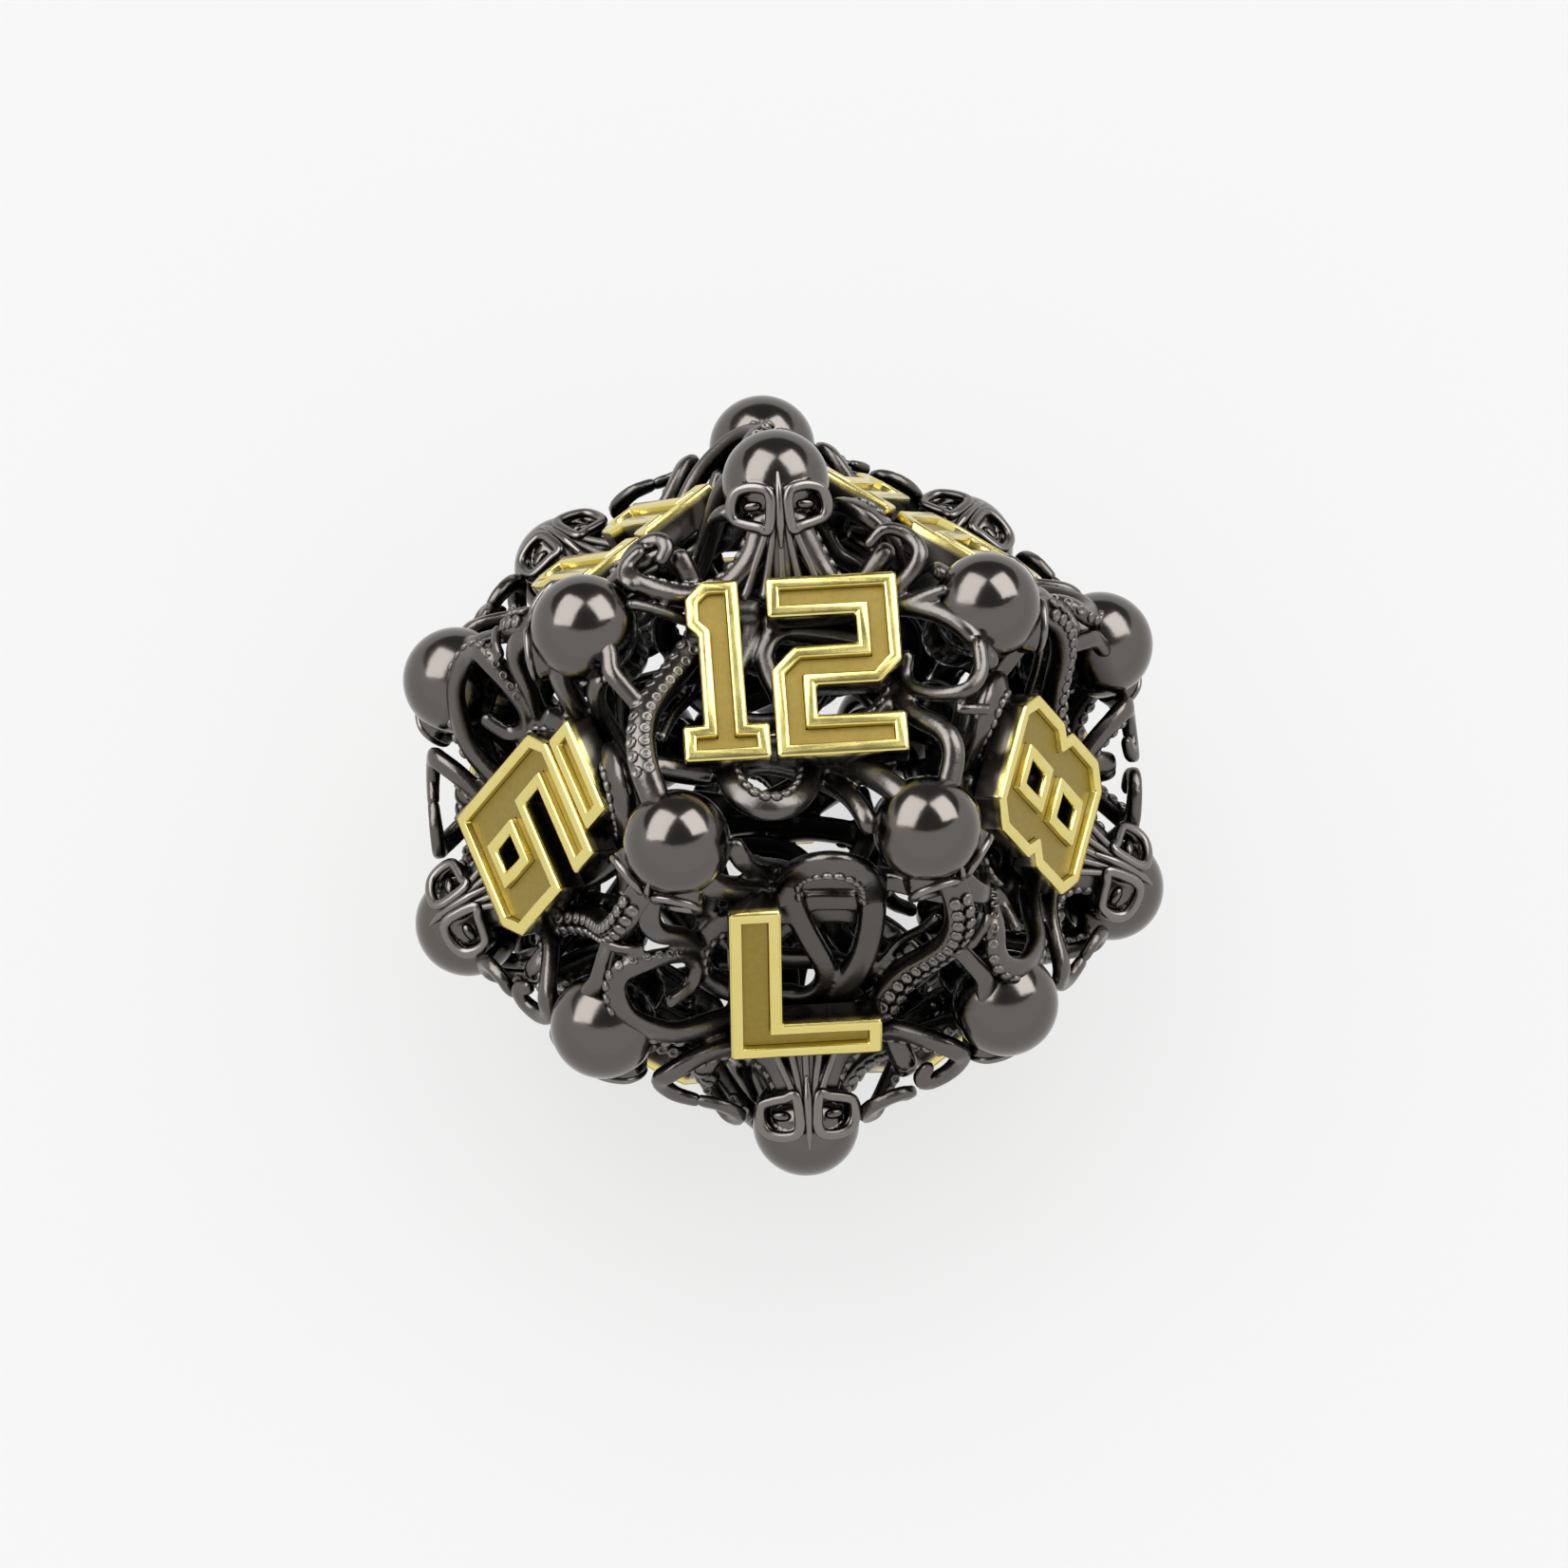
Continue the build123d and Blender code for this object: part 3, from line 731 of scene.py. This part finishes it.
def figure_piece(name):
    """A rounded copy of a face's figure. Its value standing is how far each point is from the
    middle of the die, measured along the face's direction."""
    mesh = frame["nodes"][f"numeral_{name}"].data.copy()
    shape = bmesh.new()
    shape.from_mesh(mesh)
    bmesh.ops.remove_doubles(shape, verts=shape.verts, dist=SAME_PLACE * MM)
    bmesh.ops.dissolve_limit(shape, angle_limit=FLAT_TURN, verts=shape.verts, edges=shape.edges)
    sharp = [e for e in shape.edges if e.calc_face_angle(0) > SHARP_TURN]
    offset = EDGE_ROUND * MM
    bmesh.ops.bevel(shape, geom=sharp, offset=offset, segments=2, profile=0.5, affect="EDGES")
    bmesh.ops.triangulate(shape, faces=[f for f in shape.faces if len(f.verts) > 4])
    shape.to_mesh(mesh)
    shape.free()
    mesh.shade_smooth()
    mesh.set_sharp_from_angle(angle=CREASE_TURN)
    spots = np.empty(len(mesh.vertices) * 3)
    mesh.vertices.foreach_get("co", spots)
    standing = (spots.reshape(-1, 3) - MIDDLE) @ normals[name] / MM
    keep_value(mesh, "standing", standing)
    obj = bpy.data.objects.new(f"gold_figure_{name}", mesh)
    bpy.context.collection.objects.link(obj)
    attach(obj, BODY)
    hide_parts(f"numeral_{name}")
    return obj


figures = {name: figure_piece(name) for name in face_names}
print("faces on the 12:", len(figures["12"].data.polygons))

# %% [markdown]
# ## Finishes
# The casting is plated in a dark nickel that is glossy on the domes and a little rough where no
# polishing wheel reaches. Its colour is painted lighter as a sheen on the thin set-on parts,
# painted darker as shade deeper in the cage, and painted nearly black as shade where it looks into
# the cage. The figures are pale gold with a groove of darker enamel. A painted picture would need
# every piece laid out flat, so each finish is instead a metal whose roughness and colour come from
# fine noise in the object's own millimetres.

# %% Node helpers
def new_material(name):
    """A material with a Principled shader, and its node tree and shader."""
    material = bpy.data.materials.new(name)
    material.use_nodes = True
    return material, material.node_tree, material.node_tree.nodes["Principled BSDF"]


def add_node(tree, kind, **values):
    """A node with some of its inputs or properties set."""
    node = tree.nodes.new(kind)
    for key, value in values.items():
        if key in node.inputs:
            node.inputs[key].default_value = value
        else:
            setattr(node, key, value)
    return node


def make_group(name, outputs):
    """A node group with float or colour outputs, and its output node."""
    group = bpy.data.node_groups.new(name, "ShaderNodeTree")
    for label, kind in outputs.items():
        group.interface.new_socket(label, in_out="OUTPUT", socket_type=kind)
    return group, group.nodes.new("NodeGroupOutput")


def place_group(tree, group):
    """A node group as a node of a material."""
    node = tree.nodes.new("ShaderNodeGroup")
    node.node_tree = group
    return node


print(f"distances in the finishes are in drawing millimetres of {MM * 1000:.3f} mm")

# %% Masks and tones
NOISE_LOW, NOISE_HIGH = 0.3, 0.7  # most of a noise lies between these


def ranged(tree, source, low, high, start=NOISE_LOW, end=NOISE_HIGH):
    """A mask turned into a value: low at start, high at end, straight between them, held
    outside them."""
    node = add_node(tree, "ShaderNodeMapRange")
    node.inputs["From Min"].default_value = start
    node.inputs["From Max"].default_value = end
    node.inputs["To Min"].default_value = low
    node.inputs["To Max"].default_value = high
    tree.links.new(source, node.inputs["Value"])
    return node.outputs[0]


def toned(tree, mask, first, second):
    """A colour between two: the first where the mask is 0, the second where it is 1. Each may be
    a plain colour or another node's output."""
    mix = add_node(tree, "ShaderNodeMix", data_type="RGBA")
    for label, tone in (("A", first), ("B", second)):
        if isinstance(tone, tuple):
            mix.inputs[label].default_value = (*tone, 1)
        else:
            tree.links.new(tone, mix.inputs[label])
    tree.links.new(mask, mix.inputs["Factor"])
    return mix.outputs["Result"]


def kept_value(tree, label):
    """The number that a mesh keeps at its points under a label."""
    return add_node(tree, "ShaderNodeAttribute", attribute_name=label).outputs["Fac"]


print("a noise mask is stretched from", NOISE_LOW, "to", NOISE_HIGH)


# %% Fine casting grain, shared by the metals
def in_millimetres(tree):
    """Object coordinates in drawing millimetres: metres over the length of one."""
    where = tree.nodes.new("ShaderNodeTexCoord")
    scaled = add_node(tree, "ShaderNodeVectorMath", operation="SCALE")
    scaled.inputs["Scale"].default_value = 1 / MM
    tree.links.new(where.outputs["Object"], scaled.inputs[0])
    return scaled.outputs[0]


def grain_group():
    """Slow stains about a millimetre across, and a fine grain, both layered noise from 0 to 1."""
    masks = {"Stain": "NodeSocketFloat", "Grain": "NodeSocketFloat"}
    group, out = make_group("Casting grain", masks)
    where = in_millimetres(group)
    stain = add_node(group, "ShaderNodeTexNoise", Scale=0.7, Detail=3.0)
    grain = add_node(group, "ShaderNodeTexNoise", Scale=5.0, Detail=5.0, Roughness=0.6)
    for label, noise in (("Stain", stain), ("Grain", grain)):
        group.links.new(where, noise.inputs["Vector"])
        group.links.new(noise.outputs[0], out.inputs[label])
    return group


CASTING_GRAIN = grain_group()


def fine_bump(tree, source, height_mm, strength=0.5):
    """A bump whose height is given in drawing millimetres."""
    bump = add_node(tree, "ShaderNodeBump", Strength=strength)
    bump.inputs["Distance"].default_value = height_mm * MM
    tree.links.new(source, bump.inputs["Height"])
    return bump.outputs["Normal"]


print("the grain group gives", [socket.name for socket in CASTING_GRAIN.interface.items_tree])

# %% Nickel plate, shared by heads and arms
OPEN_NICKEL = (0.125, 0.114, 0.105)
DEEP_SHADE_NICKEL = (0.095, 0.087, 0.08)
SHEEN_NICKEL = (0.2, 0.186, 0.172)
# Painted shade: nearly black where the plate looks into the cage.
INNER_SHADE_NICKEL = (0.012, 0.011, 0.01)
# The plate is painted darker as shade between these two distances, deeper in the cage.
DEEP_FROM_MM, DEEP_TO_MM = 12.0, 8.4  # distance from the middle of the die


def nickel_group():
    """The plate's colour: painted darker as shade by the distance below the domes, painted lighter
    as a sheen on the set-on parts, painted nearly black as shade on the inner side. Set-on sheen
    is the mask of the set-on parts."""
    sockets = {"Colour": "NodeSocketColor", "Set-on sheen": "NodeSocketFloat"}
    group, out = make_group("Nickel plate", sockets)
    from_middle = add_node(group, "ShaderNodeVectorMath", operation="DISTANCE")
    from_middle.inputs[1].default_value = tuple(MIDDLE / MM)
    group.links.new(in_millimetres(group), from_middle.inputs[0])
    # Painted shade: darker deeper in the cage.
    depth_shade = ranged(group, from_middle.outputs["Value"], 0, 1, DEEP_FROM_MM, DEEP_TO_MM)
    colour = toned(group, depth_shade, OPEN_NICKEL, DEEP_SHADE_NICKEL)
    # Painted sheen: the set-on parts are painted lighter.
    set_on_sheen = kept_value(group, "set_on_sheen")
    colour = toned(group, set_on_sheen, colour, SHEEN_NICKEL)
    # Painted shade where the surface looks at the middle of the die.
    colour = toned(group, kept_value(group, "inside"), colour, INNER_SHADE_NICKEL)
    group.links.new(colour, out.inputs["Colour"])
    group.links.new(set_on_sheen, out.inputs["Set-on sheen"])
    return group


NICKEL_PLATE = nickel_group()
print("the nickel group gives", [socket.name for socket in NICKEL_PLATE.interface.items_tree])

# %% Dark nickel
SET_ON_ROUGHER = 0.12  # added to the roughness of the set-on parts, which carry the painted sheen


def plated_metal(name, rough_low, rough_high, bump_mm):
    """Dark nickel plate. Its roughness runs with the stains, and is a little more on the set-on
    parts, whose colour is painted lighter as a sheen."""
    material, tree, shader = new_material(name)
    shader.inputs["Metallic"].default_value = 1.0
    grain = place_group(tree, CASTING_GRAIN)
    plate = place_group(tree, NICKEL_PLATE)
    tree.links.new(plate.outputs["Colour"], shader.inputs["Base Color"])
    rough = add_node(tree, "ShaderNodeMath", operation="MULTIPLY_ADD")
    rough.inputs[1].default_value = SET_ON_ROUGHER
    tree.links.new(plate.outputs["Set-on sheen"], rough.inputs[0])
    tree.links.new(ranged(tree, grain.outputs["Stain"], rough_low, rough_high), rough.inputs[2])
    tree.links.new(rough.outputs[0], shader.inputs["Roughness"])
    tree.links.new(fine_bump(tree, grain.outputs["Grain"], bump_mm), shader.inputs["Normal"])
    return material


dome_metal = plated_metal("Dark nickel, polished", 0.12, 0.2, 0.006)
arm_metal = plated_metal("Dark nickel, satin", 0.2, 0.34, 0.02)
print("made", dome_metal.name, "and", arm_metal.name)

# %% Pale gold
GOLD_FROM, GOLD_FULL = FIGURE_PLANE_MM - 0.34, FIGURE_PLANE_MM - 0.2  # by standing height
SIDE_NICKEL = (0.1, 0.09, 0.08)
GOLD_TONES = (0.70, 0.58, 0.17), (0.80, 0.70, 0.28)
GOLD_ROUGHNESS = (0.18, 0.28)
GOLD_BUMP_MM = 0.006


def gold_metal():
    """Pale gold with a soft satin grain. Down the sides it runs out to dark nickel, as a point's
    standing value falls from one limit to the other."""
    material, tree, shader = new_material("Pale gold")
    shader.inputs["Metallic"].default_value = 1.0
    grain = place_group(tree, CASTING_GRAIN)
    gilt = ranged(tree, kept_value(tree, "standing"), 0, 1, GOLD_FROM, GOLD_FULL)
    tone = toned(tree, grain.outputs["Stain"], *GOLD_TONES)
    tree.links.new(toned(tree, gilt, SIDE_NICKEL, tone), shader.inputs["Base Color"])
    rough = ranged(tree, grain.outputs["Stain"], *GOLD_ROUGHNESS)
    tree.links.new(rough, shader.inputs["Roughness"])
    bump = fine_bump(tree, grain.outputs["Grain"], GOLD_BUMP_MM)
    tree.links.new(bump, shader.inputs["Normal"])
    return material


gold = gold_metal()
print("made", gold.name)

# %% Dark gold enamel
ENAMEL_TONES = (0.24, 0.165, 0.015), (0.36, 0.26, 0.035)
ENAMEL_METALLIC = 0.35
ENAMEL_ROUGHNESS = (0.35, 0.5)
ENAMEL_BUMP_MM = 0.015


def gold_enamel():
    """Dark gold enamel with a fine metal flake: two tones by the grain, and a part metallic."""
    material, tree, shader = new_material("Dark gold enamel")
    shader.inputs["Metallic"].default_value = ENAMEL_METALLIC
    grain = place_group(tree, CASTING_GRAIN)
    colour = toned(tree, grain.outputs["Grain"], *ENAMEL_TONES)
    tree.links.new(colour, shader.inputs["Base Color"])
    rough = ranged(tree, grain.outputs["Stain"], *ENAMEL_ROUGHNESS)
    tree.links.new(rough, shader.inputs["Roughness"])
    bump = fine_bump(tree, grain.outputs["Grain"], ENAMEL_BUMP_MM)
    tree.links.new(bump, shader.inputs["Normal"])
    return material


enamel = gold_enamel()
print("made", enamel.name)


# %% Every piece gets its finish
def dress(obj, material):
    """Gives an object one material in place of its own."""
    obj.data.materials.clear()
    obj.data.materials.append(material)


for obj in head_pieces:
    dress(obj, dome_metal)
for obj in arm_pieces:
    dress(obj, arm_metal)
for name in face_names:
    dress(figures[name], gold)
    dress(frame["nodes"][f"enamel_{name}"], enamel)
print(len(head_pieces + arm_pieces), "nickel pieces and", len(figures), "gold figures")

# %% [markdown]
# ## Studio
# The die stands on a white table in a bright room. A picture of a real room could light it, but
# a few plain things are easier to follow. Polished metal shows what is around it, so a dark
# canopy stands over the table and two wide panels hang below it, and all three are seen only in
# reflections. One weak soft lamp lights the matt surfaces. The table and the room show as white
# to the eye and in metal, while what they give to a matt surface stays plain, so the table keeps
# the die's shadow.

# %% White table
TABLE = 3.0  # half the table's width, in metres
TABLE_WHITE = (0.88, 0.88, 0.88, 1)
TABLE_GLOW = 0.68  # share of plain white in what the eye sees of the table


def stage_mesh(name, verts, faces):
    """A piece of the studio, which is not part of the die."""
    mesh = bpy.data.meshes.new(name)
    mesh.from_pydata(verts, [], faces)
    obj = bpy.data.objects.new(name, mesh)
    bpy.context.collection.objects.link(obj)
    return obj


def by_sight(tree, unseen, seen):
    """One value for light on its way to a matt surface, another for rays that show the room: the
    largest of the ray masks picks between the two."""
    rays = tree.nodes.new("ShaderNodeLightPath")
    most = rays.outputs["Is Camera Ray"]
    for kind in ("Is Glossy Ray", "Is Transmission Ray"):
        larger = add_node(tree, "ShaderNodeMath", operation="MAXIMUM")
        tree.links.new(most, larger.inputs[0])
        tree.links.new(rays.outputs[kind], larger.inputs[1])
        most = larger.outputs[0]
    return ranged(tree, most, unseen, seen, 0, 1)


table_corners = [(-TABLE, -TABLE, 0), (TABLE, -TABLE, 0), (TABLE, TABLE, 0), (-TABLE, TABLE, 0)]
table = stage_mesh("table", table_corners, [(0, 1, 2, 3)])
paper, tree, shader = new_material("White table")
shader.inputs["Base Color"].default_value = TABLE_WHITE
shader.inputs["Roughness"].default_value = 0.8
white = add_node(tree, "ShaderNodeEmission", Strength=1.0)
blend = tree.nodes.new("ShaderNodeMixShader")
tree.links.new(by_sight(tree, 0.0, TABLE_GLOW), blend.inputs["Fac"])
tree.links.new(shader.outputs["BSDF"], blend.inputs[1])
tree.links.new(white.outputs[0], blend.inputs[2])
tree.links.new(blend.outputs[0], tree.nodes["Material Output"].inputs["Surface"])
dress(table, paper)
print("table", 2 * TABLE, "m wide")

# %% Dark canopy
CANOPY_RADIUS = 1.4  # in metres
CANOPY_TILT = radians(35)  # towards the back, so that the front stays open and bright
CANOPY_REACH = radians(63)  # from its middle to its rim
CANOPY_GLOW = 0.13


def canopy(rings=9, sides=32):
    """A dark cap over the table, tilted back. It is part of a sphere: rings at ever larger turns
    from the tilted axis, closed by one point."""
    turn = np.linspace(0, CANOPY_REACH, rings)[1:, None]
    angle = np.linspace(0, 2 * pi, sides, endpoint=False)
    cap = np.empty((rings - 1, sides, 3))
    cap[..., 0] = np.sin(turn) * np.cos(angle)
    cap[..., 1] = np.sin(turn) * np.sin(angle)
    cap[..., 2] = np.cos(turn)
    verts = np.vstack([cap.reshape(-1, 3), [[0, 0, 1.0]]]) * CANOPY_RADIUS
    verts = verts @ np.array(Matrix.Rotation(-CANOPY_TILT, 3, "X")).T
    faces = [tuple(q) for q in ring_quads(rings - 1, sides)]
    faces += [(len(verts) - 1, j, (j + 1) % sides) for j in range(sides)]
    return stage_mesh("canopy", verts.tolist(), faces)


dark_canopy = canopy()
cloth, tree, shader = new_material("Dark canopy")
shader.inputs["Base Color"].default_value = (0.02, 0.02, 0.02, 1)
shader.inputs["Roughness"].default_value = 1.0
shader.inputs["Emission Color"].default_value = (1, 1, 1, 1)
shader.inputs["Emission Strength"].default_value = CANOPY_GLOW
dress(dark_canopy, cloth)
dark_canopy.visible_camera = False
dark_canopy.visible_diffuse = False
dark_canopy.visible_shadow = False
dark_canopy.visible_transmission = False
print("canopy of", len(dark_canopy.data.polygons), "faces")


# %% Lamps
def panel_lamp(name, azimuth, elevation, distance, size, watts):
    """A soft rectangular lamp aimed at the die. Two angles in degrees give where it hangs, and
    its distance and size are in metres."""
    data = bpy.data.lights.new(name, "AREA")
    data.shape = "RECTANGLE"
    data.size, data.size_y = size
    data.energy = watts
    lamp = bpy.data.objects.new(name, data)
    a, e = radians(azimuth), radians(elevation)
    way = Vector((cos(e) * cos(a), cos(e) * sin(a), sin(e)))
    lamp.location = Vector(MIDDLE) + way * distance
    lamp.rotation_euler = way.to_track_quat("Z", "Y").to_euler()
    bpy.context.collection.objects.link(lamp)
    return lamp


for panel in (
    panel_lamp("left_panel", 147, 48, 0.8, (0.95, 0.66), 9.0),
    panel_lamp("right_panel", 34, 46, 0.8, (0.7, 0.58), 6.2),
):
    panel.visible_diffuse = False
panel_lamp("soft_lamp", 100, 70, 1.0, (0.9, 0.9), 1.2).visible_glossy = False

# %% Room
ROOM_LIGHT = 0.8
world = bpy.data.worlds.new("Room")
bpy.context.scene.world = world
world.use_nodes = True
tree = world.node_tree
background = tree.nodes["Background"]
background.inputs["Color"].default_value = (1, 1, 1, 1)
tree.links.new(by_sight(tree, ROOM_LIGHT, 1.0), background.inputs["Strength"])
print("room light", ROOM_LIGHT)

# %% [markdown]
# ## Camera
# The camera looks down steeply with a long lens, turned a little about its own line of sight. A
# long lens from far away keeps the near and the far heads almost the same size.

# %% Camera
LENS, SENSOR = 400.0, 36.0
SEEN_WIDTH_MM = 53.17  # of the view, at the middle of the die
VIEW_AZIMUTH, VIEW_ELEVATION, VIEW_ROLL = radians(-7.0), radians(67.4), radians(3.3)
distance = SEEN_WIDTH_MM * MM * LENS / SENSOR
level = cos(VIEW_ELEVATION)
look = Vector((-sin(VIEW_AZIMUTH) * level, cos(VIEW_AZIMUTH) * level, -sin(VIEW_ELEVATION)))
camera_data = bpy.data.cameras.new("camera")
camera_data.lens, camera_data.sensor_width = LENS, SENSOR
camera = bpy.data.objects.new("camera", camera_data)
camera.location = Vector(MIDDLE) - look * distance
turned = look.to_track_quat("-Z", "Y").to_matrix() @ Matrix.Rotation(VIEW_ROLL, 3, "Z")
camera.rotation_euler = turned.to_euler()
bpy.context.collection.objects.link(camera)
bpy.context.scene.camera = camera
bpy.context.scene.view_settings.view_transform = "Standard"
print(f"camera {distance:.3f} m away")
